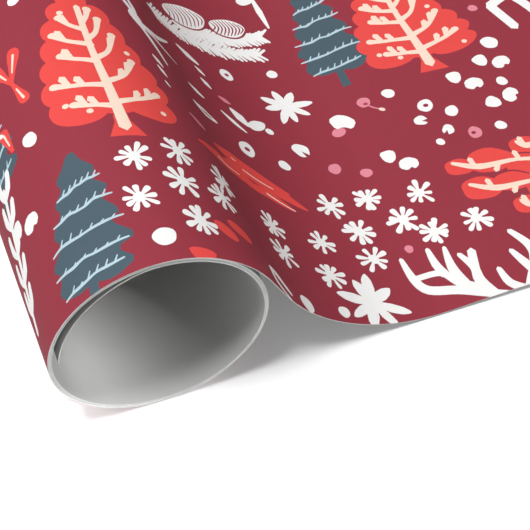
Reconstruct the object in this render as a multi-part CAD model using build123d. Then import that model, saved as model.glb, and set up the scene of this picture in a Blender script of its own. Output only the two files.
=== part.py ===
"""A roll of printed gift wrap, wound without a core and partly unrolled on a flat surface.

The object is one long sheet. It starts at a loose inner end, winds outwards for some turns, leaves the
roll over its top, sags in an S to the surface and lies flat as a leaf, print side up.

Paper bends everywhere, so the sheet is cut across into spans, and each span is one node. Spans that move
apart are a slit away from each other. The sheet's width runs along Y, the leaf lies towards +X and the
surface is Z = 0. The origin is on the surface, under the centre of the whole model.
"""
from build123d import *
from math import cos, hypot, radians, sin, sqrt
import os

# Driving dimensions, in millimetres and degrees.

# The sheet.
sheet_width = 700.0
paper = 0.18
slit = 0.3                 # between two spans that move apart

# The wound roll.
roll_diameter = 60.0
turns = 5
layer_gap = 0.07           # air between one turn and the next

# The loose inner end: it pinches away from the innermost turn, then curves more openly to its tip.
pinch_radius = 18.0
pinch_turn = 20.0
open_turn = 63.0
tip_standoff = 1.6         # from the innermost turn's middle line to the tip's
inner_end_spans = 3

# The drape: from the roll's top the sheet bends down over a shoulder, runs straight, and then its foot
# curves out until it lies on the surface.
leave_angle = 33.0         # past the roll's top, where the sheet parts from the turn below it
shoulder_radius = 42.0
steepest_angle = 62.0      # below the horizontal
slope_run = 10.0
foot_spans = 3

# The leaf.
landing_length = 25.0
leaf_spans = 12
leaf_span_length = 25.0

HALF_TURN = 180.0
roll_radius = roll_diameter / 2
pitch = paper + layer_gap
outer_mid_radius = roll_radius - paper / 2


# A pose is a place and a heading on the sheet's middle line, seen from the near end: (x, z, degrees).
# A move is (length, turn) along that line, and a positive turn is to the left.

def arc(radius, turn):
    """The move along an arc."""
    return (radius * radians(abs(turn)), turn)


def run(length):
    """The straight move."""
    return (length, 0.0)


def part_of(move, share):
    """The first share of a move, from 0 to 1."""
    length, turn = move
    return (length * share, turn * share)


def walk(pose, move):
    """The pose at the end of a move."""
    x, z, heading = pose
    length, turn = move
    start = radians(heading)
    if turn == 0:
        return (x + length * cos(start), z + length * sin(start), heading)
    end = radians(heading + turn)
    radius = length / radians(turn)
    return (x + radius * (sin(end) - sin(start)), z + radius * (cos(start) - cos(end)), heading + turn)


def walk_all(pose, moves):
    """The pose after several moves."""
    for move in moves:
        pose = walk(pose, move)
    return pose


def beside(pose, offset):
    """The point that far to the left of a pose, on the sheet's near edge."""
    x, z, heading = pose
    angle = radians(heading)
    return (x - offset * sin(angle), -sheet_width / 2, z + offset * cos(angle))


def face_line(pose, move, offset):
    """One face of the paper along a move."""
    start = beside(pose, offset)
    end = beside(walk(pose, move), offset)
    if move[1] == 0:
        return Line(start, end)
    middle = beside(walk(pose, part_of(move, 0.5)), offset)
    return ThreePointArc(start, middle, end)


def trim_start(pose, moves, amount):
    """Take some length off the start of a span."""
    share = amount / moves[0][0]
    cut = walk(pose, part_of(moves[0], share))
    return cut, [part_of(moves[0], 1 - share)] + moves[1:]


def trim_end(moves, amount):
    """Take some length off the end of a span."""
    share = amount / moves[-1][0]
    return moves[:-1] + [part_of(moves[-1], 1 - share)]


def span(pose, moves, slit_before=0.0, slit_after=0.0):
    """The solid of one span of the sheet: its two faces along the moves, its two cut edges, its width."""
    if slit_before:
        pose, moves = trim_start(pose, moves, slit_before)
    if slit_after:
        moves = trim_end(moves, slit_after)
    left = []
    right = []
    here = pose
    for move in moves:
        left.append(face_line(here, move, paper / 2))
        right.append(face_line(here, move, -paper / 2))
        here = walk(here, move)
    ends = [Line(beside(pose, paper / 2), beside(pose, -paper / 2))]
    ends.append(Line(beside(here, paper / 2), beside(here, -paper / 2)))
    outline = Wire(left + right + ends)
    return extrude(Face(outline), amount=sheet_width, dir=(0, 1, 0))


# The sheet from the roll's top outwards: over the shoulder, down the slope and out along the foot.
top = (0.0, roll_diameter - paper / 2, 0.0)
over_roll = arc(outer_mid_radius, -leave_angle)
leaving = walk(top, over_roll)
shoulder = [arc(shoulder_radius, leave_angle - steepest_angle), run(slope_run)]
slope_end = walk_all(leaving, shoulder)
foot_radius = (slope_end[1] - paper / 2) / (1 - cos(radians(steepest_angle)))
touchdown = walk(slope_end, arc(foot_radius, steepest_angle))

# The model's middle, from the roll's left side to the leaf's free edge.
leaf_end_x = touchdown[0] + landing_length + leaf_spans * leaf_span_length
middle_x = (leaf_end_x - roll_radius) / 2


def wound_turn(number):
    """The two half turns of one turn, counted from 0 at the outside. Each half turn is tighter by half a
    pitch than the one before it, which makes the spiral."""
    radius = outer_mid_radius - number * pitch
    return [arc(radius, HALF_TURN), arc(radius - pitch / 2, HALF_TURN)]


def turn_start(number):
    """The pose at the roll's top where a turn starts, going inwards."""
    return (0.0, top[1] - number * pitch, HALF_TURN)


spans = {}

# The outer turn starts where the drape leaves it, so it is a full turn and a little more.
outer_start = (leaving[0], leaving[1], leaving[2] + HALF_TURN)
outer_moves = [arc(outer_mid_radius, leave_angle)] + wound_turn(0)
spans["outer_turn"] = span(outer_start, outer_moves, 0, slit / 2)
for number in range(1, turns):
    spans[f"turn_{number + 1}"] = span(turn_start(number), wound_turn(number), slit / 2, slit / 2)

# The loose inner end. Its open curve has the radius that brings the tip to its standoff.
inner_pose = turn_start(turns)
pinch = arc(pinch_radius, pinch_turn)
pinch_x, pinch_z, pinch_heading = walk(inner_pose, pinch)
tip_heading = pinch_heading + open_turn
tip_from_axis = inner_pose[1] - roll_radius - tip_standoff
step_x = sin(radians(tip_heading)) - sin(radians(pinch_heading))
step_z = cos(radians(pinch_heading)) - cos(radians(tip_heading))
step = hypot(step_x, step_z)
inwards = -(pinch_x * step_x + (pinch_z - roll_radius) * step_z) / step
short_of_tip = hypot(pinch_x, pinch_z - roll_radius) ** 2 - tip_from_axis ** 2
open_radius = (inwards + sqrt(inwards ** 2 - short_of_tip)) / step

for number in range(inner_end_spans):
    inner_moves = [arc(open_radius, open_turn / inner_end_spans)]
    if number == 0:
        inner_moves.insert(0, pinch)
    gap_after = 0 if number == inner_end_spans - 1 else slit / 2
    spans[f"inner_end_{number + 1}"] = span(inner_pose, inner_moves, slit / 2, gap_after)
    inner_pose = walk_all(inner_pose, inner_moves)

# The drape, and the landing strip that it rests on.
spans["drape_shoulder"] = span(leaving, shoulder)
foot_pose = slope_end
for number in range(foot_spans):
    foot_move = arc(foot_radius, steepest_angle / foot_spans)
    spans[f"drape_foot_{number + 1}"] = span(foot_pose, [foot_move])
    foot_pose = walk(foot_pose, foot_move)
spans["landing"] = span(touchdown, [run(landing_length)], 0, slit / 2)

# The leaf.
leaf_pose = walk(touchdown, run(landing_length))
for number in range(leaf_spans):
    gap_after = 0 if number == leaf_spans - 1 else slit / 2
    spans[f"leaf_{number + 1}"] = span(leaf_pose, [run(leaf_span_length)], slit / 2, gap_after)
    leaf_pose = walk(leaf_pose, run(leaf_span_length))

os.makedirs("parts", exist_ok=True)
for name, solid in spans.items():
    placed = Pos(-middle_x, 0, 0) * solid
    export_step(placed, f"parts/{name}.step")
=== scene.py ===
import math
import random

import bpy
import numpy as np
from mathutils import Matrix, Vector
from mathutils.geometry import delaunay_2d_cdt


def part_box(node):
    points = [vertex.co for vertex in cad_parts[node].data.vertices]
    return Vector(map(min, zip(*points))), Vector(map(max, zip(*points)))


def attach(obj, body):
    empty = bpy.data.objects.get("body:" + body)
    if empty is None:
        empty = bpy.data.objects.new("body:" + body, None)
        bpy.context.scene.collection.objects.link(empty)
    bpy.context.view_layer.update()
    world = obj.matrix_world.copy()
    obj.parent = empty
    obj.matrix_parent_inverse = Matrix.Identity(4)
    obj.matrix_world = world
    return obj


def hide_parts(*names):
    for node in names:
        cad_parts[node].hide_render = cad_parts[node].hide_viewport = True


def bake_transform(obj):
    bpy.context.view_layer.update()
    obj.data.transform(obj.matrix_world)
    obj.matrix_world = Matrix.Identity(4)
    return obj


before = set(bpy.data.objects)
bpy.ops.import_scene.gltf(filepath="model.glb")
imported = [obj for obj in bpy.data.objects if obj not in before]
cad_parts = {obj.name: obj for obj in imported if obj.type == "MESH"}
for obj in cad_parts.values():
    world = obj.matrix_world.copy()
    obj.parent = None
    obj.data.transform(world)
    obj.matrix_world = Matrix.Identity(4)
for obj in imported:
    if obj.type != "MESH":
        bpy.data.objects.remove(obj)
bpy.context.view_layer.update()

# --- Outer turn -----------------------------------------------------------------------------
# The last turn wound on the roll: coated paper printed in spot colours on its outer face.
# Its bare back is coloured a darker grey than the white stock, as painted shade. It runs from the
# right of the roll under it, up the left side and over the top, where the paper leaves for the drape.
mm = 0.001
sheet_width = 700 * mm
paper = 0.18 * mm
outside_radius = 30 * mm
roll_radius = 29.91 * mm  # to the middle of the paper, as all the bends below
layer_pitch = 0.25 * mm
half_turn_count = 10
leave_turn = math.radians(33)
shoulder_radius, shoulder_turn = 42 * mm, math.radians(29)
slope_length = 10 * mm
foot_radius, foot_turn = 57.789 * mm, math.radians(62)
leaf_length = 325 * mm
pinch_radius, pinch_turn = 18 * mm, math.radians(20)
curl_radius, curl_turn = 32.083 * mm, math.radians(63)
roll_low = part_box("outer_turn")[0]
axis_x = roll_low.x + outside_radius
near_edge = roll_low.y
top_height = roll_radius + outside_radius

# The paper is one length all through. Places on it are given along the sheet from the top of the
# roll, with minus towards the middle of the roll, and across from the near edge.
to_the_leaf = [
    (roll_radius * leave_turn, -leave_turn),
    (shoulder_radius * shoulder_turn, -shoulder_turn),
    (slope_length, 0.0),
    (foot_radius * foot_turn, foot_turn),
    (leaf_length, 0.0),
]
into_the_roll = [
    ((roll_radius - n * layer_pitch / 2) * math.pi, math.pi) for n in range(half_turn_count)
] + [
    (pinch_radius * pinch_turn, pinch_turn),
    (curl_radius * curl_turn, curl_turn),
]
half_turns = np.cumsum([0] + [length for length, turn in into_the_roll[:half_turn_count]])
touchdown = sum(length for length, turn in to_the_leaf[:4])


def follow(moves, distance, heading):
    """Where the middle of the paper is after each distance along the moves, from the roll's top."""
    x = np.full(distance.shape, axis_x)
    z = np.full(distance.shape, top_height)
    heading = np.full(distance.shape, heading)
    for length, turn in moves:
        step = np.clip(distance, 0, length)
        after = heading + turn * step / length
        if turn:
            x = x + length / turn * (np.sin(after) - np.sin(heading))
            z = z + length / turn * (np.cos(heading) - np.cos(after))
        else:
            x = x + step * np.cos(heading)
            z = z + step * np.sin(heading)
        heading = after
        distance = distance - length
    return x, z, heading


def ease(value, low, high):
    """0 below low and 1 above high, smooth between."""
    t = np.clip((value - low) / (high - low), 0, 1)
    return t * t * (3 - 2 * t)


def slack(along, across):
    """How far the flat part stands off the table: long shallow waves, and cut edges that curl up."""
    wave_height, near_rise, far_rise, end_rise = 0.35 * mm, 1.8 * mm, 0.7 * mm, 0.9 * mm
    flat = ease(along, touchdown + 5 * mm, touchdown + 110 * mm)
    waves = 1 + np.sin(along / (31 * mm) + 9 * across) * np.sin(across / (74 * mm) + 1)
    near_curl = np.exp(-across / (11 * mm)) * ease(along, touchdown - 20 * mm, touchdown + 30 * mm)
    far_curl = np.exp((across - sheet_width) / (12 * mm)) * flat
    end_curl = ease(along, touchdown + leaf_length - 30 * mm, touchdown + leaf_length)
    return wave_height * waves * flat + near_rise * near_curl + far_rise * far_curl + end_rise * end_curl


def lie(along, across, off):
    """Points on the sheet in the row frame, off its middle towards the printed side."""
    out_x, out_z, out_heading = follow(to_the_leaf, np.maximum(along, 0), 0.0)
    in_x, in_z, in_heading = follow(into_the_roll, np.maximum(-along, 0), math.pi)
    outside = along >= 0
    x = np.where(outside, out_x, in_x)
    z = np.where(outside, out_z, in_z)
    heading = np.where(outside, out_heading, in_heading - math.pi)
    uneven_ends = 0.12 * mm * np.sin(along / (33 * mm)) + 0.08 * mm * np.sin(along / (11 * mm) + 1)
    y = near_edge + across + uneven_ends * ease(-along, 0, 40 * mm)
    off = off + slack(along, across)
    return np.stack([x - off * np.sin(heading), y, z + off * np.cos(heading)], 1)


# The print: six inks and bare white on a dark red ground, on a repeat 240 mm along the sheet
# and 175 mm across. The drawing is in millimetres, along and across. A later outline prints over
# an earlier one, and the ground is what no motif covers.
repeat_along, repeat_across = 240, 175
artwork = []
chance = random.Random(7)


def ink_in(ink, points, at=(0, 0), lean=0.0, size=1.0):
    """One filled outline, drawn upright, leaned clockwise and set down at a place on the repeat."""
    c, s = math.cos(math.radians(lean)), math.sin(math.radians(lean))
    placed = [(at[0] + size * (u * c + v * s), at[1] + size * (v * c - u * s)) for u, v in points]
    area = sum(a[0] * b[1] - b[0] * a[1] for a, b in zip(placed, placed[1:] + placed[:1]))
    artwork.append((ink, np.array(placed if area > 0 else placed[::-1])))


def oval(u, v, wide, high, tilt=0.0, wobble=0.0, steps=22):
    """A tilted oval whose edge wobbles by a share of its size."""
    c, s = math.cos(math.radians(tilt)), math.sin(math.radians(tilt))
    points = []
    for k in range(steps):
        a = 2 * math.pi * k / steps
        r = 1 + wobble * math.sin(3 * a + tilt) + wobble * 0.6 * math.sin(5 * a + 1)
        p, q = wide / 2 * r * math.cos(a), high / 2 * r * math.sin(a)
        points.append((u + p * c - q * s, v + p * s + q * c))
    return points


def brush(path, widths):
    """The outline of a brush stroke on a smooth line through a path; widths run from start to end."""
    points = [Vector(p) for p in path]
    fine, steps = [], 5
    for i in range(len(points) - 1):
        before = points[max(i - 1, 0)]
        after = points[min(i + 2, len(points) - 1)]
        for k in range(steps):
            t = k / steps
            a, b = points[i], points[i + 1]
            fine.append(
                0.5 * (2 * a + (b - before) * t + (2 * before - 5 * a + 4 * b - after) * t * t
                       + (3 * a - before - 3 * b + after) * t ** 3)
            )
    fine.append(points[-1])
    left, right = [], []
    for i, p in enumerate(fine):
        ahead = fine[min(i + 1, len(fine) - 1)] - fine[max(i - 1, 0)]
        side = Vector((-ahead.y, ahead.x)).normalized()
        share = i / (len(fine) - 1) * (len(widths) - 1)
        k = min(int(share), len(widths) - 2)
        half = (widths[k] + (widths[k + 1] - widths[k]) * (share - k)) / 2
        left.append(p + side * half)
        right.append(p - side * half)
    start, end = (fine[0] - fine[1]).normalized(), (fine[-1] - fine[-2]).normalized()
    tip = fine[-1] + end * widths[-1] * 0.45
    tail = fine[0] + start * widths[0] * 0.45
    return [tuple(p) for p in right + [tip] + left[::-1] + [tail]]


def petal(angle, inner, length, width):
    """A petal that points out from the middle, blunt at its tip."""
    c, s = math.cos(math.radians(angle)), math.sin(math.radians(angle))
    profile = [(0, 0.3), (0.35, 0.55), (0.65, 0.9), (0.85, 1), (0.96, 0.72), (1, 0.25)]
    side = [(inner + (length - inner) * t, width / 2 * w) for t, w in profile]
    outline = side + [(u, -v) for u, v in side[::-1]]
    return [(u * c - v * s, u * s + v * c) for u, v in outline]


def flake(along, across, wide, petals):
    """A snow flake cut like a daisy: blunt petals of uneven length and width."""
    first = chance.uniform(0, 360)
    for k in range(petals):
        angle = first + 360 * k / petals + chance.uniform(-9, 9)
        length = wide / 2 * chance.uniform(0.8, 1.14)
        ink_in("white", petal(angle, 0.2, length, wide * chance.uniform(0.14, 0.2)), (along, across))
    ink_in("white", oval(0, 0, wide * 0.36, wide * 0.33, first, 0.06), (along, across))


def star(along, across, wide):
    """A bigger flower-like star whose petals swell and then come to a soft point."""
    first, petals = chance.uniform(0, 360), 8
    for k in range(petals):
        angle = math.radians(first + 360 * k / petals + chance.uniform(-9, 9))
        length = wide / 2 * chance.uniform(0.78, 1.08)
        path = [(length * t * math.cos(angle), length * t * math.sin(angle)) for t in (0, 0.5, 0.8, 1)]
        fat = wide * chance.uniform(0.13, 0.17)
        ink_in("white", brush(path, [fat * 0.6, fat * 1.1, fat * 0.9, 0.9]), (along, across))
    ink_in("white", oval(0, 0, wide * 0.2, wide * 0.2), (along, across))


def dot(along, across, wide, ink="white"):
    """A slightly uneven round spot."""
    ink_in(ink, oval(0, 0, wide, wide * 0.88, chance.uniform(0, 180), 0.03), (along, across))


def ring(along, across, wide):
    """A dot with a hole in it."""
    dot(along, across, wide)
    ink_in("ground", oval(0.2, 0, wide * 0.32, wide * 0.26), (along, across))


def soften(points):
    """An outline with its corners cut off."""
    cut = []
    for a, b in zip(points, points[1:] + points[:1]):
        cut += [(a[0] * 0.78 + b[0] * 0.22, a[1] * 0.78 + b[1] * 0.22),
                (a[0] * 0.22 + b[0] * 0.78, a[1] * 0.22 + b[1] * 0.78)]
    return cut


def scraps(along, across, turn):
    """Two torn-looking scraps side by side."""
    left = [(-4.9, 0.3), (-3.2, 2.1), (-1.6, 2.3), (-0.6, 0.2), (-1.2, -1.6), (-3.1, -1.5)]
    right = [(0.1, -0.4), (1.5, 1.6), (3.8, 1.9), (4.9, 0.4), (4.4, -1.2), (3.4, -0.9), (3.0, -2.3),
             (1.0, -2.4)]
    for scrap in (left, right):
        ink_in("white", soften(scrap), (along, across), turn, 1.35)


def nicked(along, across, wide, turn):
    """A dot with a bite taken out of one side."""
    ink_in("white", oval(0, 0, wide, wide * 0.86, 10, 0.05), (along, across), turn)
    ink_in("ground", [(0.3, -0.2), (wide * 0.62, -0.9), (wide * 0.6, 1.1)], (along, across), turn)


def berry(along, across):
    """A pink berry with a dark eye, on a short stalk with a pale leaf."""
    ink_in("pink", oval(0, 0, 4.6, 4.2, 20, 0.02), (along, across))
    ink_in("rose", oval(0.3, -0.8, 1.6, 1.2), (along, across))
    ink_in("pink", brush([(0.8, -1.6), (2.2, -3.2), (3.6, -4.2)], [0.5, 0.6]), (along, across))
    ink_in("cream", oval(4.4, -4.8, 2.2, 1.4, -35), (along, across))


def round_tree(along, across, lean, tall, wide):
    """A tree of soft round lobes on a flared trunk, with a pale stem and knobbed twigs inside."""
    at = (along, across)
    w, h = wide / 33, tall / 43
    lobes = [(-8.5, 9.5, 15, 9), (9.5, 8.5, 15, 7.5), (-11, 15, 10.5, 8), (10.5, 13.5, 13, 7.5),
             (-10, 20.5, 9.5, 7.5), (9.6, 18.5, 11.5, 8), (-8.6, 26, 8.5, 7.5), (8, 24, 9.5, 8),
             (-7, 31.5, 8, 7), (6.4, 29.5, 8, 8), (-4.6, 36.4, 7, 6.5), (4.2, 35, 7.5, 7.5),
             (-0.6, 40, 8, 7.5), (0, 16, 20, 20), (0, 26, 15, 20), (0, 34, 9, 12)]
    for u, v, broad, high in lobes:
        lobe = oval(u * w, v * h, broad * w, high * h, chance.uniform(-10, 10), 0.015, 30)
        ink_in("coral", lobe, at, lean)
    ink_in("coral", [(-4.8, 0.4), (-2.2, 5.5), (-2.0, 8), (2.0, 8), (2.2, 5.5), (5.2, -0.4)], at, lean)
    stem = [(0.2, 3.5), (0.0, 14 * h), (-0.4, 25 * h), (0.2, 38 * h)]
    ink_in("cream", brush(stem, [3.6, 2.7, 2.0, 1.8]), at, lean)
    twigs = [(-1, 9, 10, 1.6), (1, 10, 12.5, 3.0), (-1, 15, 12, 1.8), (1, 16, 10, 6.0), (-1, 22, 9, 2.2),
             (1, 23, 7, 6.5), (-1, 27, 9, 3.4), (1, 29, 4.5, 5.2), (-1, 31.5, 5.4, 3.5), (1, 34, 2.8, 3.2)]
    for side, foot, reach, rise in twigs:
        foot, reach, rise = foot * h, reach * w * chance.uniform(0.9, 1.05), rise * h
        end = (side * reach, foot + rise)
        middle = (side * reach * 0.45, foot + rise * 0.1)
        fork = (side * reach * 0.72, foot + rise * 0.42)
        ink_in("cream", brush([(0, foot - 1), middle, fork, end], [2.2, 1.5, 1.5, 2.3]), at, lean)
        ink_in("cream", oval(end[0], end[1], 2.6, 2.2), at, lean)
        if reach > 5.5:
            for start, up in [(fork, 3.4)] + [(middle, 2.8)] * (reach > 9.5):
                tip = (start[0] + side * 1.2, start[1] + up)
                ink_in("cream", brush([start, tip], [1.4, 2.3]), at, lean)
    for u, v in [(-11.5, 11.0), (12.5, 7.5), (-6.5, 8.0), (9.0, 24.5), (-4.6, 36.5)]:
        ink_in("cream", oval(u * w, v * h, 1.9, 1.7), at, lean)


def fir_tree(along, across, lean, tall):
    """A fir in notched tiers with icy garlands sketched across it."""
    at, h = (along, across), tall / 43
    ink_in("slate", [(-1.5, -0.6), (1.6, 0), (1.3, 8), (-1.3, 8)], at, lean)
    right = [(6, 5.2), (12.5, 9.2), (7.2, 12.8), (13.6, 15.8), (6.6, 20.6), (10.4, 23.2), (5.0, 28.2),
             (8.4, 31.0), (3.6, 34.0), (5.6, 37.2), (2.0, 40.0)]
    left = [(-1.8, 42.6), (-3.2, 39.4), (-5.8, 36.2), (-4.2, 33.4), (-7.4, 30.0), (-5.4, 27.2),
            (-9.6, 22.6), (-7.0, 19.4), (-11.8, 14.6), (-8.6, 12.2), (-11.2, 7.2), (-5.4, 5.0)]
    outline = [(u, v * h) for u, v in right + [(0.2, 43.2)] + left + [(0, 6.2)]]
    ink_in("slate", soften(outline), at, lean)
    bends = 7
    for v, reach in [(7.5, 9.0), (13.2, 11.0), (19.6, 10.5), (26.4, 8.6), (32.6, 6.2)]:
        path = []
        for k in range(bends + 1):
            u = -reach + 2 * reach * k / bends
            path.append((u, v * h - 1.6 + 4.2 * k / bends + chance.uniform(-0.45, 0.45)))
        ink_in("ice", brush(path, [0.5, 1.0, 0.7, 0.9, 0.5]), at, lean)
        for u, foot in path[1:-1]:
            barb = [(u, foot), (u + 0.9, foot + chance.uniform(1.0, 2.2))]
            ink_in("ice", brush(barb, [0.6, 0.3]), at, lean)


def bush(along, across, lean):
    """Rows of plump lobes, each row parted from the next by the ground and carrying a forked twig."""
    rows = [(11.5, 4, [(10, 7), (12, 8)]), (3.8, -17.5, [(9, 6.5), (13, 10), (12, 8), (10, 8)]),
            (-12.5, 1, [(10, 7), (11, 7)]), (-5.2, -13.5, [(12, 9), (11, 7.5), (12, 9), (9, 7)])]
    for v, first, lobes in rows:
        for ink, margin in (("ground", 1.3), ("coral", 0)):
            u = first
            for n, (long, high) in enumerate(lobes):
                lift = 1.3 if n % 2 else -0.9
                lobe = oval(u + long / 2, v + lift, long * 1.14 + margin, high + margin, 8, 0.05, 28)
                ink_in(ink, lobe, (along, across), lean)
                u += long * 0.86
        reach = u - first
        path = [(first + 2.2, v + 0.6), (first + reach * 0.28, v - 1.2), (first + reach * 0.6, v + 1.0),
                (first + reach * 0.9, v + 0.2)]
        ink_in("cream", brush(path, [1.3, 2.4, 1.4, 1.8]), (along, across), lean)
        for share, foot, rise in [(0.24, -1.0, 3.0), (0.44, 0.0, -3.0), (0.62, 0.8, 3.2), (0.86, 0.4, 2.4)]:
            u = first + reach * share
            twig = [(u, v + foot), (u - 1.2, v + foot + rise)]
            ink_in("cream", brush(twig, [1.5, 1.9]), (along, across), lean)


def leaves(along, across, lean, blades):
    """Loose leaves from one point, the longer ones with a pale vein."""
    for turn, length, width in blades:
        ink_in("coral", petal(turn, 0, length, width), (along, across), lean)
        c, s = math.cos(math.radians(turn)), math.sin(math.radians(turn))
        if length > 8:
            vein = [(length * 0.3 * c, length * 0.3 * s), (length * 0.8 * c, length * 0.8 * s)]
            ink_in("cream", brush(vein, [0.5, 0.8]), (along, across), lean)


def sprig(along, across, lean, long):
    """An upright stem with narrow petals in pairs."""
    ink_in("white", brush([(0, 0), (0.6, long / 2), (0, long)], [2.2, 1.4]), (along, across), lean)
    leaf_pairs = 5
    for k in range(leaf_pairs):
        foot = long * (0.12 + k / leaf_pairs)
        for side in (-1, 1):
            reach = chance.uniform(3.2, 4.6)
            leaf = [(0, foot), (side * reach * 0.6, foot + 3.2), (side * reach * 0.8, foot + 7.5)]
            ink_in("white", brush(leaf, [1.2, 2.8, 1.8]), (along, across), lean)


def bow(along, across, lean):
    """A tied ribbon: a knot with two short ends above it and three long tails."""
    ink_in("white", oval(0, 0, 5, 8, 25, 0.05), (along, across), lean)
    for path in [[(0, 2), (-2, 6), (-5, 10)], [(0.5, 2), (0.8, 6), (-1, 12)]]:
        ink_in("white", brush(path, [1.6, 2.0, 0.8]), (along, across), lean)
    for path, widths in [([(0, -2), (3, -7), (7, -15)], [1.6, 2.2, 1.6]),
                         ([(0.5, -1), (9, -1), (21, 6)], [1.6, 2.4, 0.8]),
                         ([(0.5, -2), (9, -4), (20, -5)], [1.4, 1.6, 0.4])]:
        ink_in("white", brush(path, widths), (along, across), lean)


def pine(along, across, lean, long):
    """Two twigs thick with needles, and ribbed cones lying over them."""
    for foot, tilt, reach in [((0, 0), 0, long), ((14, 4), 9, long - 11)]:
        c, s = math.cos(math.radians(tilt)), math.sin(math.radians(tilt))
        spine = [(foot[0] + reach * t * c, foot[1] + reach * t * s - 1.5 * math.sin(math.pi * t))
                 for t in (0, 0.35, 0.7, 1)]
        ink_in("white", brush(spine, [2.2, 1.8, 1.4, 1.0]), (along, across), lean)
        needle_pairs = 30
        for k in range(needle_pairs):
            t = (k + 0.5) / needle_pairs
            root = (foot[0] + reach * t * c, foot[1] + reach * t * s - 1.5 * math.sin(math.pi * t))
            for side in (-1, 1):
                out = side * chance.uniform(3.0, 4.4) * (1.1 - 0.35 * t)
                needle = brush([root, (root[0] + 2.8, root[1] + out)], [1.3, 0.9])
                ink_in("white", needle, (along, across), lean)
    for u, v, wide, high, tilt in [(20, 11, 19, 11, 18), (37, 12, 13, 9, 6), (8, 20, 16, 11, 30)]:
        ink_in("ground", oval(u, v, wide + 1.6, high + 1.6, tilt, 0.02, 30), (along, across), lean)
        ink_in("white", oval(u, v, wide, high, tilt, 0.03, 30), (along, across), lean)
        c, s = math.cos(math.radians(tilt)), math.sin(math.radians(tilt))
        ribs = 9
        for k in range(ribs):
            x = -wide * 0.4 + wide * 0.8 * k / (ribs - 1)
            half = high * 0.43 * math.sqrt(max(0.08, 1 - (x / wide * 2) ** 2))
            arc = [(x - 0.9, -half), (x + 0.8, 0), (x - 0.7, half)]
            rib = [(u + p * c - q * s, v + p * s + q * c) for p, q in arc]
            ink_in("ground", brush(rib, [0.3, 0.6, 0.3]), (along, across), lean)


def antler(along, across, forks):
    """Smooth forked branches that thin to their tips, each drawn from its root."""
    for path, widths in forks:
        ink_in("white", brush(path, widths), (along, across))


def dash(start, end, width, ink="white"):
    """A streak of snow, thin at both ends."""
    middle = ((start[0] + end[0]) / 2, (start[1] + end[1]) / 2)
    ink_in(ink, brush([start, middle, end], [width * 0.4, width * 1.25, width * 0.4]))


# Trees, twigs, ribbons and antlers.
bush(149, 43, 16)
fir_tree(-34, 44, -3, 44)
sprig(-43, 9, 14, 42)
round_tree(7, 43.5, 1, 59, 37)
fir_tree(-17, -4, 10, 48)
fir_tree(118, 94, 3, 50)
round_tree(147.5, 90.5, -1, 50, 40)
pine(50, 121, 8, 46)
bow(30, 98, 0)
antler(129, -2, [
    ([(6, -3), (-6, 4), (-13, 8), (-21, 11), (-23.5, 16), (-24, 24)], (3.6, 3.0, 3.2, 3.2, 2.8, 1.4)),
    ([(-4, 4), (-11, 10), (-15, 15.5), (-22.5, 16)], (3.4, 3.2, 2.2, 2.0)),
    ([(-14, 14.5), (-15, 19), (-15, 25)], (3.0, 2.6, 1.4)),
    ([(-10, 9), (-11, 16), (-10, 24)], (3.6, 3.0, 1.2)),
    ([(-4, 3), (-5.5, 9), (-5, 14), (-7, 20)], (3.6, 3.4, 2.6, 1.6)),
    ([(-5, 13), (-3, 20)], (2.8, 2.6)),
])
antler(137, -1, [
    ([(-7, -9), (-1, 0), (5, 9), (6, 15), (3, 22)], (3.4, 3.6, 3.4, 3.0, 1.8)),
    ([(-3, 0), (-6, 4), (-6.5, 10)], (3.4, 2.8, 1.6)),
    ([(3, 5), (1.5, 10), (0, 15)], (3.2, 2.8, 1.6)),
    ([(5, 8), (10, 14), (11, 22)], (3.2, 2.8, 1.6)),
])
# Long blades of grass with a pale vein, and loose leaves.
for blade, fat in [([(33, 49), (46, 51), (58, 51), (70, 47)], 5),
                   ([(48, 58), (58, 58), (68, 55), (79, 50)], 5.4),
                   ([(50, 53), (62, 55), (73, 51), (83, 44)], 6),
                   ([(60, 49), (69, 48), (78, 43)], 4)]:
    ink_in("coral", brush(blade, [0.8, fat, fat * 0.9, 0.6]))
    ink_in("cream", brush(blade[1:3], [0.7, 0.4]))
for along, across, long, tilt in [(25, 11.5, 8.5, -36), (32, 14, 10, -22)]:
    ink_in("coral", oval(0, 0, long, 4.2, tilt), (along, across))
leaves(-17, 76, 0, [(70, 12, 4), (115, 9, 4), (-75, 9, 3.6)])
leaves(-24, 56, 0, [(100, 9, 4)])
leaves(12, -3, 0, [(75, 6.5, 7.5)])
# Snow flakes and stars.
for along, across in [(6, 36), (20, 39), (17, 27), (3, 22), (17, 13), (37, 35), (31, 26), (63, 33), (62, 22),
                      (92, 46), (105, 47), (121, 44), (97, 35), (112, 36), (119, 28.5), (133, 29), (82, 31),
                      (97, 24), (79, 18)]:
    flake(along, across, chance.uniform(9.6, 11), chance.choice([8, 9, 9, 10]))
star(95, 90, 17)
star(89, 8, 22)
# Dots, rings, bitten dots and torn scraps.
for along, across, wide in [(-18, 55, 5), (5, 8, 6.4), (96, 105, 4), (129, 86, 4.4), (145, 72, 4.8),
                            (170, 96, 6), (157, 61, 4), (136, 61, 3), (83, 63, 4.4), (77, 4, 4.5),
                            (84, 78, 3), (166, 78.5, 4)]:
    dot(along, across, wide)
ring(138, 77, 5.6)
nicked(92, 70, 6.2, 60)
nicked(134, 71.5, 4.6, 20)
nicked(140.5, 65, 4.4, 130)
ring(70, 67, 7)
ring(78, 103, 5.4)
for along, across, turn in [(120.5, 58.5, 40), (154.5, 83, 38), (166.5, 88, 20), (162.5, 71.5, -15)]:
    scraps(along, across, turn)
ink_in("pink", oval(0, 0, 5, 3.6, 20), (107.5, 75.5))
big_scrap = [(-4.5, 1), (-1.8, 3.6), (1.6, 3.2), (4.6, 1), (3.4, -2.6), (0.4, -1.6), (-2, -3)]
ink_in("white", soften(big_scrap), (110, 79), 20)
berry(120, 85)
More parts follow.
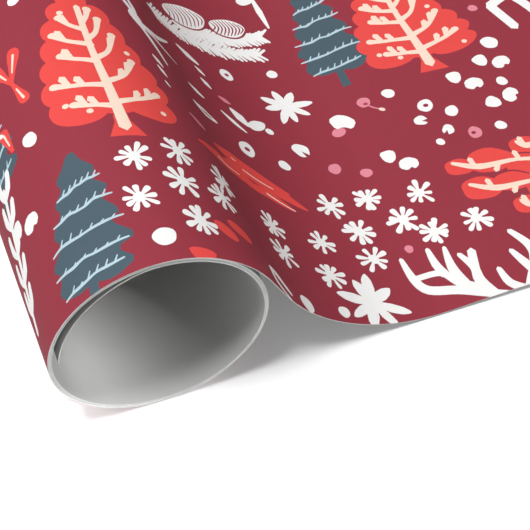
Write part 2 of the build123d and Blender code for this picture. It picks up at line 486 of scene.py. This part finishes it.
for along, across, wide in [(172, 113, 3.4), (148, 61, 5), (100, 61, 4.6), (109, 57, 4), (109, 25, 3)]:
    dot(along, across, wide, "pink")
# Streaks of snow, and a few last pieces that print over the others.
for start, end, width in [((58.5, 108.5), (66.5, 103.5), 2.6), ((64, 101.5), (67, 98.5), 1.5),
                          ((64, 96), (67, 92.5), 1.8), ((53, 87), (59.5, 84.5), 1.9),
                          ((49, 76.5), (60, 74), 3), ((66.5, 82.5), (74, 75.5), 1.6),
                          ((72, 85.5), (76.5, 79), 3.2),
                          ((29.5, 82), (32.5, 78.5), 1.7), ((29.5, 77.5), (32, 74), 1.5),
                          ((29.5, 71), (31, 69), 1)]:
    dash(start, end, width)
dash((36.5, 62), (45.5, 61.5), 2, "pink")
dash((69, 90), (73, 88), 1.8, "pink")
dash((52.5, 75.6), (58, 74.5), 0.9, "ground")
ink_in("white", oval(0, 0, 7.4, 4.4, 20, 0.03), (80, 80))
pink_dot_eye = oval(0, 0, 1.6, 1.3)
ink_in("ground", pink_dot_eye, (147.5, 61))
antler(183, 106, [
    ([(-1.5, -6), (-5, 6)], (3.4, 3.4)),
    ([(-5, 6), (4, 10)], (3.4, 3.4)),
    ([(9, -4), (6.5, 3), (4, 10), (5.5, 22)], (3.4, 3.4, 3.2, 1.4)),
    ([(4, 10), (13, 12)], (3.2, 3.0)),
    ([(18, -1), (14.5, 6), (13, 12), (15, 21)], (3.2, 3.2, 3.0, 1.4)),
    ([(0, 8.5), (-2.5, 14), (-7, 18)], (3.0, 2.4, 1.2)),
    ([(14.5, 14), (19, 15), (23, 19)], (2.8, 2.4, 1.2)),
    ([(9, 11), (10, 16), (9, 20)], (2.8, 2.4, 1.2)),
])
dash((103, 144), (103.5, 127), 1.8)
ink_in("white", oval(0, 0, 6, 5, 30, 0.05), (100, 142))
for path, widths in [([(0, 0), (4, -1), (9, -5)], (1.6, 2.8, 1.4)),
                     ([(0, 0), (1, -5), (7, -8)], (1.4, 2.0, 1.0))]:
    ink_in("white", brush(path, widths), (44, 8))
dot(61, 3, 6)

# The rest of the repeat: the same kinds, scattered more loosely.
fir_tree(22, 117, -6, 40)
leaves(-12, 118, 10, [(40, 10, 4), (90, 12, 4.4), (140, 10, 4)])
sprig(-38, 100, -8, 44)
round_tree(-36, 146, -12, 22, 20)
for along, across in [(-5, 150), (6, 162), (36, 158), (-20, 162), (70, 160), (84, 168), (96, 156), (44, 166),
                      (174, 142), (164, 152), (150, 162), (134, 154), (120, 164), (172, 166), (-48, 78),
                      (-45, 92), (-30, 66)]:
    flake(along, across, chance.uniform(8, 10), chance.choice([8, 9, 10]))
for along, across in [(-52, 62), (-8, 104), (-24, 98), (56, 150), (78, 148), (108, 148), (142, 142),
                      (112, 158)]:
    dot(along, across, chance.uniform(3, 5))
for along, across in [(-50, 158), (14, 172), (60, 168), (160, 138)]:
    dot(along, across, 3.4, "pink")
star(24, 168, 13)
star(160, 14, 13)
scraps(-30, 34, 20)
scraps(128, 170, -10)
bow(176, 66, 30)

outline_boxes = np.array([[*outline.min(0), *outline.max(0)] for _, outline in artwork])

inks = {
    "ground": (0.572, 0.205, 0.255),
    "coral": (0.88, 0.295, 0.28),
    "slate": (0.29, 0.36, 0.40),
    "ice": (0.70, 0.79, 0.83),
    "white": (0.935, 0.935, 0.93),
    "pink": (0.86, 0.53, 0.59),
    "rose": (0.66, 0.27, 0.33),
    "cream": (0.94, 0.84, 0.77),
}


def paper_finish(name, colour, roughness, mottle, tooth):
    """Ink or bare stock: colour a little uneven from the fibres, a satin that varies, a fine tooth."""
    cloud_scale, fibre_scale, satin_spread = 260, 3200, 0.05
    made = bpy.data.materials.new(name)
    made.use_nodes = True
    nodes, links = made.node_tree.nodes, made.node_tree.links
    shader = nodes["Principled BSDF"]
    place = nodes.new("ShaderNodeUVMap")
    place.uv_map = "sheet"
    linear = [((c + 0.055) / 1.055) ** 2.4 if c > 0.04045 else c / 12.92 for c in colour]
    cloud = nodes.new("ShaderNodeTexNoise")
    cloud.inputs["Scale"].default_value = cloud_scale
    cloud.inputs["Detail"].default_value = 5
    cloud.inputs["Roughness"].default_value = 0.65
    shade = nodes.new("ShaderNodeMix")
    shade.data_type = "RGBA"
    shade.inputs["A"].default_value = [c * (1 - mottle) for c in linear] + [1]
    shade.inputs["B"].default_value = [min(1, c * (1 + mottle)) for c in linear] + [1]
    links.new(place.outputs["UV"], cloud.inputs["Vector"])
    links.new(cloud.outputs["Fac"], shade.inputs["Factor"])
    links.new(shade.outputs["Result"], shader.inputs["Base Color"])
    satin = nodes.new("ShaderNodeMapRange")
    satin.inputs["To Min"].default_value = roughness - satin_spread
    satin.inputs["To Max"].default_value = roughness + satin_spread
    links.new(cloud.outputs["Fac"], satin.inputs["Value"])
    links.new(satin.outputs["Result"], shader.inputs["Roughness"])
    shader.inputs["Specular IOR Level"].default_value = 0.2
    fibre = nodes.new("ShaderNodeTexNoise")
    fibre.inputs["Scale"].default_value = fibre_scale
    fibre.inputs["Detail"].default_value = 3
    bump = nodes.new("ShaderNodeBump")
    bump.inputs["Strength"].default_value = tooth
    bump.inputs["Distance"].default_value = 0.02 * mm
    links.new(place.outputs["UV"], fibre.inputs["Vector"])
    links.new(fibre.outputs["Fac"], bump.inputs["Height"])
    links.new(bump.outputs["Normal"], shader.inputs["Normal"])
    return made


finishes = {
    ink: paper_finish("ink_" + ink, colour, roughness=0.76, mottle=0.05, tooth=0.35)
    for ink, colour in inks.items()
}
# Painted shade: the bare back is a darker grey than the white stock and its cut edges, which darkens the
# inside of the bore, the underside of the drape and the inner turns.
finishes["back"] = paper_finish("back_grey_painted_shade", (0.73, 0.73, 0.725), roughness=0.7, mottle=0.025, tooth=0.5)
finishes["edge"] = paper_finish("cut_edge", (0.93, 0.93, 0.925), roughness=0.75, mottle=0.05, tooth=0.5)
print_start = -122 * mm


def in_rows(corners, faces, across_lines):
    """A layout on a unit square: the printed face, cut at some of its lines into rows that fill most of
    it, the back in one flat row above them, and the cut edges in a thin band at the top."""
    rows_top, back_low, back_high, band_low, band_high, margin = 0.86, 0.88, 0.96, 0.975, 0.995, 0.002
    along, across = corners[:, 0] - corners[:, 0].min(), corners[:, 1]
    length, width = along.max(), across.max()
    rows = max(1, round(math.sqrt(0.85 * width / length)))
    cuts = [across_lines[np.abs(across_lines - width * k / rows).argmin()] for k in range(rows + 1)]
    printed, shell = 3 * faces, 6 * faces
    middle = across[:printed].reshape(-1, 3).mean(1)
    row = np.repeat(np.searchsorted(cuts[1:-1], middle), 3)
    layout = np.empty_like(corners)
    layout[:, 0] = across / width
    layout[:printed, 0] = (across[:printed] - np.array(cuts)[row]) / np.diff(cuts).max()
    layout[:printed, 1] = rows_top * (row + 0.02 + 0.96 * along[:printed] / length) / rows
    layout[printed:shell, 1] = back_low + (back_high - back_low) * along[printed:shell] / length
    edge_along = (along[shell:] / length).reshape(-1, 4)
    edge_across = (across[shell:] / width).reshape(-1, 4)
    runs_along = np.ptp(edge_across, axis=1) < 0.01 * mm / width
    layout[shell:, 0] = np.where(runs_along[:, None], edge_along, edge_across).ravel()
    layout[shell:, 1] = np.tile([band_low, band_low, band_high, band_high], len(edge_along))
    return layout * (1 - 2 * margin) + margin


def inked(low, high):
    """The ink outlines that reach the paper between two places along it, in the order of printing."""
    overhang, rows_across = 60, range(-1, 5)
    first, last = int((low + overhang) // repeat_along) - 1, int((high + overhang) // repeat_along) + 1
    for i in range(first, last + 1):
        for j in rows_across:
            shift = np.array([i * repeat_along, j * repeat_across])
            left, below, right, above = (outline_boxes + np.tile(shift, 2)).T
            on_paper = (right > low) & (left < high) & (above > 0) & (below < sheet_width / mm)
            for n in np.flatnonzero(on_paper & (left > print_start / mm)):
                ink, outline = artwork[n]
                yield ink, outline + shift


def cut_flat(start, end, along_lines, across_lines):
    """The flat paper cut up by a grid of lines and by the print: its points, triangles and their inks."""
    count, last = len(across_lines), len(along_lines) - 1
    width = sheet_width / mm
    points = [Vector((a, b)) for a in along_lines for b in across_lines]
    lines = [(i * count + j, i * count + j + 1) for i in range(last + 1) for j in range(count - 1)]
    lines += [(i * count + j, (i + 1) * count + j) for i in range(last) for j in range(count)]
    outlines = [[0, last * count, last * count + count - 1, count - 1]]
    outline_inks = ["back"]
    if end > print_start:
        low, high = max(start, print_start) / mm, end / mm
        ground = ("ground", [(low, 0), (high, 0), (high, width), (low, width)])
        for ink, outline in [ground, *inked(low, high)]:
            outlines.append([len(points) + k for k in range(len(outline))])
            points += [Vector(p) for p in outline]
            outline_inks.append(ink)
    flat, _, triangles, _, _, covered = delaunay_2d_cdt(points, lines, outlines, 1, 1e-4)
    kept = [(t, max(c)) for t, c in zip(triangles, covered) if 0 in c]
    used = sorted({v for t, _ in kept for v in t})
    new_number = {v: n for n, v in enumerate(used)}
    places = np.array([flat[v] for v in used], float) * mm
    return places, [tuple(new_number[v] for v in t) for t, _ in kept], [outline_inks[c] for _, c in kept]


def rim_of(triangles):
    """The edges that belong to one triangle only."""
    rim = {}
    for t in triangles:
        for a, b in zip(t, t[1:] + t[:1]):
            if (b, a) in rim:
                del rim[(b, a)]
            else:
                rim[(a, b)] = True
    return list(rim)


def face_directions(along, across):
    """Which way the printed side faces at each place, square to the curved sheet."""
    step, middle = 0.05 * mm, np.zeros(len(along))
    forward = lie(along + step, across, middle) - lie(along - step, across, middle)
    sideways = lie(along, across + step, middle) - lie(along, across - step, middle)
    up = np.cross(forward, sideways)
    return up / np.linalg.norm(up, axis=1)[:, None]


def paper_piece(name, start, end, along_step, across_step):
    """A length of the sheet as a closed shell: inked outer face, bare back and cut edges."""
    along_lines = np.linspace(start, end, max(2, round((end - start) / along_step) + 1)) / mm
    width, edge_zone = sheet_width / mm, 8
    between = np.arange(edge_zone + across_step / mm, width - edge_zone, across_step / mm)
    across_lines = np.array([0, 2, 4.5, edge_zone, *between, width - edge_zone, width - 4, width])
    places, outer, face_inks = cut_flat(start, end, along_lines, across_lines)
    size = len(places)
    inner = [tuple(v + size for v in t[::-1]) for t in outer]
    sides = [(b, a, a + size, b + size) for a, b in rim_of(outer)]
    along, across = places[:, 0], places[:, 1]
    printed_side = lie(along, across, np.full(size, paper / 2))
    back_side = lie(along, across, np.full(size, -paper / 2))
    mesh = bpy.data.meshes.new(name)
    mesh.from_pydata(np.vstack([printed_side, back_side]).tolist(), [], outer + inner + sides)

    face_finishes = face_inks + ["back"] * len(inner) + ["edge"] * len(sides)
    slot_of, on_piece = {}, set(face_finishes)
    for finish, material in finishes.items():
        if finish in on_piece:
            slot_of[finish] = len(slot_of)
            mesh.materials.append(material)
    mesh.polygons.foreach_set("material_index", [slot_of[finish] for finish in face_finishes])
    mesh.polygons.foreach_set("use_smooth", [True] * len(face_finishes))

    corner_vertex = np.zeros(len(mesh.loops), int)
    mesh.loops.foreach_get("vertex_index", corner_vertex)
    corner_places = places[corner_vertex % size]
    mesh.uv_layers.new(name="sheet").data.foreach_set("uv", corner_places.ravel())
    rows = in_rows(corner_places, len(outer), across_lines * mm)
    mesh.uv_layers.new(name="OFBake").data.foreach_set("uv", rows.ravel())

    up = face_directions(along, across)
    normals = np.vstack([up, -up])[corner_vertex]
    faces = len(outer) + len(inner)
    face_normals = np.zeros(len(mesh.polygons) * 3)
    mesh.polygons.foreach_get("normal", face_normals)
    normals[3 * faces:] = np.repeat(face_normals.reshape(-1, 3)[faces:], 4, axis=0)
    mesh.normals_split_custom_set(normals.tolist())
    made = bpy.data.objects.new(name, mesh)
    bpy.context.scene.collection.objects.link(made)
    return made


turn_start = -(half_turns[1] + half_turns[2]) / 2
turn_end = roll_radius * leave_turn
outer_turn = paper_piece("outer_turn_paper", turn_start, turn_end, 1.6 * mm, 7 * mm)
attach(outer_turn, "roll_and_drape")
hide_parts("outer_turn")

# --- Drape ----------------------------------------------------------------------------------
# The paper between the roll and the table: it bows over a shoulder, runs down steeply and
# sweeps out flat. It is the same coated sheet, held in this curve only by its own stiffness.
landing_length = 12.5 * mm
drape_end = touchdown + landing_length
drape = paper_piece("drape_paper", turn_end, drape_end, 2.0 * mm, 7 * mm)
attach(drape, "roll_and_drape")
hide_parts("drape_shoulder", "drape_foot_1", "drape_foot_2", "drape_foot_3", "landing")

# --- Leaf -----------------------------------------------------------------------------------
# The unrolled end of the sheet, flat on the table with its printed face up, ending in a
# straight cut. It is made in lengths, one about each crease line.
leaf_creases = 12
half_span = 12.5 * mm
for k in range(1, leaf_creases + 1):
    crease = touchdown + 2 * half_span * k
    bend_end = touchdown + leaf_length if k == leaf_creases else crease + half_span
    bend = paper_piece(f"leaf_paper_{k}", crease - half_span, bend_end, 3.5 * mm, 7 * mm)
    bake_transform(bend)
    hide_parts(f"leaf_{k}")

# --- Inner turns ----------------------------------------------------------------------------
# The turns wound inside the outer one: the same sheet before the print starts, bare stock on both
# faces, coloured the darker grey of the back as painted shade. Each turn lies a layer further in,
# so the paper steps inwards over the roll's top.
inner_turns = 4
tip_overlap = 6 * mm
for turn in range(1, inner_turns + 1):
    ramp_start = -(half_turns[2 * turn] + half_turns[2 * turn + 1]) / 2
    ramp_end = -(half_turns[2 * turn - 1] + half_turns[2 * turn]) / 2
    ramp = paper_piece(f"turn_{turn + 1}_top_paper", ramp_start, ramp_end, 2.2 * mm, 20 * mm)
    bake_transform(ramp)
    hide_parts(f"turn_{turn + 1}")
    cup_end = ramp_start
    cup_start = -(half_turns[2 * turn + 1] + half_turns[2 * turn + 2]) / 2
    if turn == inner_turns:
        cup_start = -(half_turns[half_turn_count] - tip_overlap)
    cup = paper_piece(f"turn_{turn + 1}_paper", cup_start, cup_end, 2.2 * mm, 20 * mm)
    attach(cup, f"turn_{turn + 1}")
    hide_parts(f"turn_{turn + 1}")

# --- Inner end ------------------------------------------------------------------------------
# The free end at the middle of the roll. It springs off the turn above it and hangs a little
# way inside the bore, with a straight cut edge.
tip_start = half_turns[half_turn_count]
curl = curl_radius * curl_turn
curl_start = tip_start + pinch_radius * pinch_turn
last_flex = curl_start + 2 * curl / 3
cuts = [tip_start - tip_overlap, tip_start + 9 * mm, curl_start + curl / 2, curl_start + curl]
for k in range(3):
    stretch = paper_piece(f"inner_end_paper_{k + 1}", -cuts[k + 1], -cuts[k], 1.2 * mm, 20 * mm)
    flexed_by = last_flex + curl / 6 if k == 2 else cuts[k + 1]
    start, end = lie(np.array([-cuts[k], -flexed_by]), np.zeros(2), np.zeros(2))
    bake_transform(stretch)
    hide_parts(f"inner_end_{k + 1}")

# --- Table and light ------------------------------------------------------------------------
# A plain white table in a pale room, brighter above. Three soft lights stand above, behind and to
# the left, and one narrow lamp shines into the near end of the roll.
table = bpy.data.meshes.new("table")
table.from_pydata([(-3, -3, 0), (3, -3, 0), (3, 3, 0), (-3, 3, 0)], [], [(0, 1, 2, 3)])
table_top = bpy.data.objects.new("table", table)
table_top.location.z = -0.1 * mm
bpy.context.scene.collection.objects.link(table_top)
white_top = bpy.data.materials.new("white_table")
white_top.use_nodes = True
white_shader = white_top.node_tree.nodes["Principled BSDF"]
white_shader.inputs["Base Color"].default_value = (0.9, 0.9, 0.9, 1)
white_shader.inputs["Roughness"].default_value = 0.9
white_shader.inputs["Specular IOR Level"].default_value = 0.1
white_shader.inputs["Emission Color"].default_value = (1, 1, 1, 1)
seen = white_top.node_tree.nodes.new("ShaderNodeLightPath")
glow = white_top.node_tree.nodes.new("ShaderNodeMath")
glow.operation = "MULTIPLY"
glow.inputs[1].default_value = 0.16  # lifts the table to white, seen by the camera alone
white_top.node_tree.links.new(seen.outputs["Is Camera Ray"], glow.inputs[0])
white_top.node_tree.links.new(glow.outputs["Value"], white_shader.inputs["Emission Strength"])
table.materials.append(white_top)

room = bpy.data.worlds.new("room")
room.use_nodes = True
room_nodes, room_links = room.node_tree.nodes, room.node_tree.links
direction = room_nodes.new("ShaderNodeTexCoord")
parts = room_nodes.new("ShaderNodeSeparateXYZ")
squared = room_nodes.new("ShaderNodeMath")
squared.operation = "MULTIPLY"
brightness = room_nodes.new("ShaderNodeMapRange")
brightness.inputs["To Min"].default_value = 0.04
brightness.inputs["To Max"].default_value = 0.4
room_links.new(direction.outputs["Generated"], parts.inputs["Vector"])
room_links.new(parts.outputs["Z"], squared.inputs[0])
room_links.new(parts.outputs["Z"], squared.inputs[1])
room_links.new(squared.outputs["Value"], brightness.inputs["Value"])
room_links.new(brightness.outputs["Result"], room_nodes["Background"].inputs["Strength"])
room_nodes["Background"].inputs["Color"].default_value = (1, 1, 1, 1)
bpy.context.scene.world = room


def soft_light(name, at, aim, size, power):
    """A round soft box, size in metres and power in watts."""
    lamp = bpy.data.lights.new(name, "AREA")
    lamp.shape = "DISK"
    lamp.size = size
    lamp.energy = power
    holder = bpy.data.objects.new(name, lamp)
    holder.location = at
    holder.rotation_euler = (Vector(aim) - Vector(at)).to_track_quat("-Z", "Y").to_euler()
    bpy.context.scene.collection.objects.link(holder)


soft_light("upper_left", (-1.35, 0.0, 1.7), (0, -0.2, 0), 0.7, 7)
soft_light("top", (-0.7, -0.4, 1.9), (-0.1, -0.3, 0), 0.5, 30.5)
soft_light("overhead_back", (0.0, 0.9, 1.6), (-0.1, -0.25, 0), 1.0, 4)

snoot = bpy.data.lights.new("into_the_bore", "SPOT")
snoot.energy = 15
snoot.spot_size = math.radians(6)
snoot.spot_blend = 1
snoot.shadow_soft_size = 0.02
snoot_stand = bpy.data.objects.new("into_the_bore", snoot)
snoot_stand.location = (axis_x + 0.25, near_edge - 0.35, 0.27)
bore_mouth = Vector((axis_x - 8 * mm, near_edge, 16 * mm))
snoot_stand.rotation_euler = (bore_mouth - snoot_stand.location).to_track_quat("-Z", "Y").to_euler()
bpy.context.scene.collection.objects.link(snoot_stand)

camera = bpy.data.objects.new("camera", bpy.data.cameras.new("camera"))
bpy.context.scene.collection.objects.link(camera)
swing, tip_down, cant = math.radians(21.8), math.radians(52), math.radians(1.3)
heading = Vector((math.sin(swing), math.cos(swing), 0))
look = math.cos(tip_down) * heading - Vector((0, 0, math.sin(tip_down)))
level = Vector((math.cos(swing), -math.sin(swing), 0))
upright = level.cross(look)
to_right = math.cos(cant) * level + math.sin(cant) * upright
to_top = -math.sin(cant) * level + math.cos(cant) * upright
facing = Matrix((to_right, to_top, -look)).transposed().to_4x4()
stand = Vector((axis_x - 58.2 * mm, near_edge - 216.8 * mm, 346.1 * mm))
camera.matrix_world = Matrix.Translation(stand) @ facing
camera.data.sensor_width = 36
camera.data.lens = 101.9
bpy.context.scene.camera = camera
bpy.context.scene.view_settings.view_transform = "Standard"
